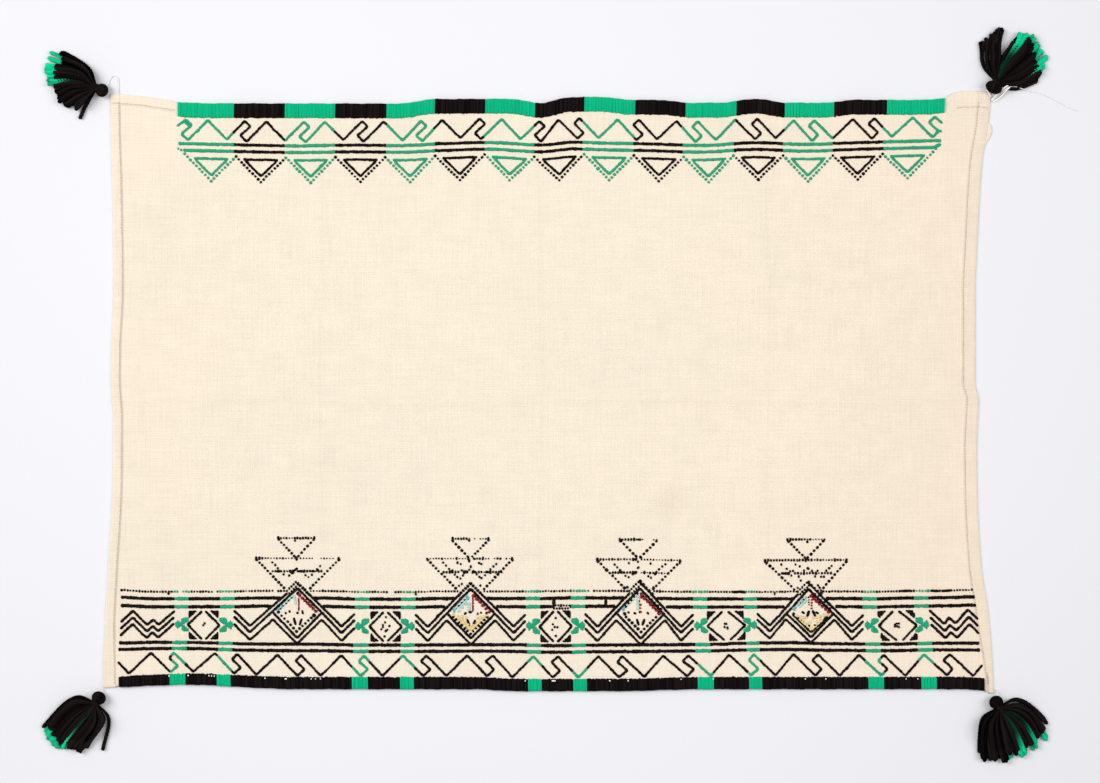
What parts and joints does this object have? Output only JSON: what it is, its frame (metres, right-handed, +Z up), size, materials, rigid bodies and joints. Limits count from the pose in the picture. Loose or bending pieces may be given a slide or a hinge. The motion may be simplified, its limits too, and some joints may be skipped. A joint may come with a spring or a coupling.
{
  "type": "embroidered cotton manta with corner tassels",
  "caption": "Flat hemmed cotton manta with embroidered borders, yarn-wrapped upper and lower edges and a yarn tassel at each corner, laid out face up.",
  "frame": {"origin": "middle of the cloth on its underside, where it lies on the surface", "axes": "+X along the long side to the right, +Y across to the upper embroidered edge, +Z up out of the face"},
  "size_m": [1.3124, 0.9229, 0.0138],
  "materials": {
    "cotton_cloth": "plain basket weave",
    "black_yarn": "soft twisted yarn",
    "green_yarn": "soft twisted yarn",
    "white_thread": "smooth sewing thread"
  },
  "bodies": {
    "root": {"cloth_panel": "cotton_cloth", "lower_binding_01": "black_yarn", "lower_binding_02": "green_yarn", "lower_binding_03": "black_yarn", "lower_binding_04": "green_yarn", "lower_binding_05": "black_yarn", "lower_binding_06": "green_yarn", "lower_binding_07": "black_yarn", "lower_binding_08": "green_yarn", "lower_binding_09": "black_yarn", "lower_binding_10": "green_yarn", "lower_binding_11": "black_yarn", "lower_binding_12": "green_yarn", "lower_binding_13": "black_yarn", "lower_binding_14": "green_yarn", "lower_binding_15": "black_yarn", "lower_binding_16": "green_yarn", "lower_binding_17": "black_yarn", "lower_binding_18": "green_yarn", "lower_binding_19": "black_yarn", "lower_binding_20": "green_yarn", "lower_binding_21": "black_yarn", "tassel_north_east_black": "black_yarn", "tassel_north_east_green": "green_yarn", "tassel_north_west_black": "black_yarn", "tassel_north_west_green": "green_yarn", "tassel_south_east_black": "black_yarn", "tassel_south_east_green": "green_yarn", "tassel_south_west_black": "black_yarn", "tassel_south_west_green": "green_yarn", "tie_thread_north_east": "white_thread", "tie_thread_north_west": "white_thread", "tie_thread_south_east": "white_thread", "tie_thread_south_west": "white_thread", "upper_binding_01": "green_yarn", "upper_binding_02": "black_yarn", "upper_binding_03": "green_yarn", "upper_binding_04": "black_yarn", "upper_binding_05": "green_yarn", "upper_binding_06": "black_yarn", "upper_binding_07": "green_yarn", "upper_binding_08": "black_yarn", "upper_binding_09": "green_yarn", "upper_binding_10": "black_yarn", "upper_binding_11": "green_yarn", "upper_binding_12": "black_yarn", "upper_binding_13": "green_yarn", "upper_binding_14": "black_yarn", "upper_binding_15": "green_yarn"}
  },
  "joints": []
}
